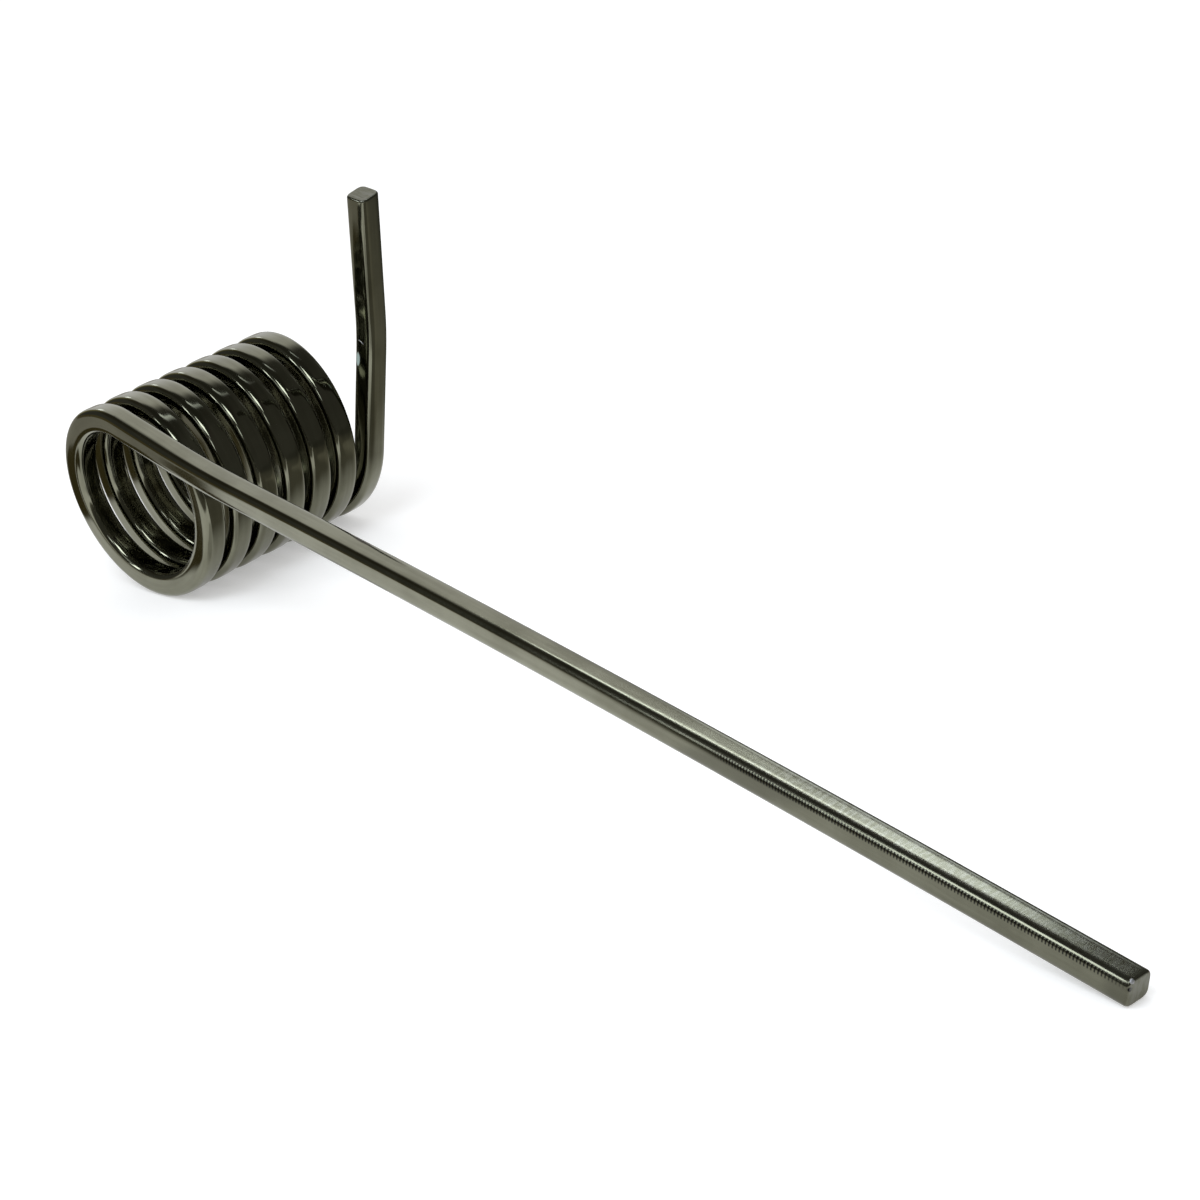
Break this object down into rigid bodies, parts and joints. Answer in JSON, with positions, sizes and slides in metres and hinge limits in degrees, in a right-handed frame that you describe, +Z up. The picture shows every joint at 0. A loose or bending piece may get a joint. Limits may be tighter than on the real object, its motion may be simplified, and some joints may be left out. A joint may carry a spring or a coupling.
{
  "type": "torsion spring",
  "caption": "Heavy helical torsion spring in square wire with open turns, with a long and a short leg; pushes back on a ramp, gate or shaft as its legs are turned.",
  "frame": {"origin": "on the coil's axis, halfway along its helix", "axes": "+Y along the coil's axis, from the long leg's turn to the short leg's turn; +X out along the long leg; +Z up, as the spring lies on a table"},
  "size_m": [0.4397, 0.1152, 0.1178],
  "materials": {
    "spring_steel": "dark oil-tempered steel, smooth and glossy"
  },
  "bodies": {
    "root": {"torsion_spring": "spring_steel"}
  },
  "joints": []
}
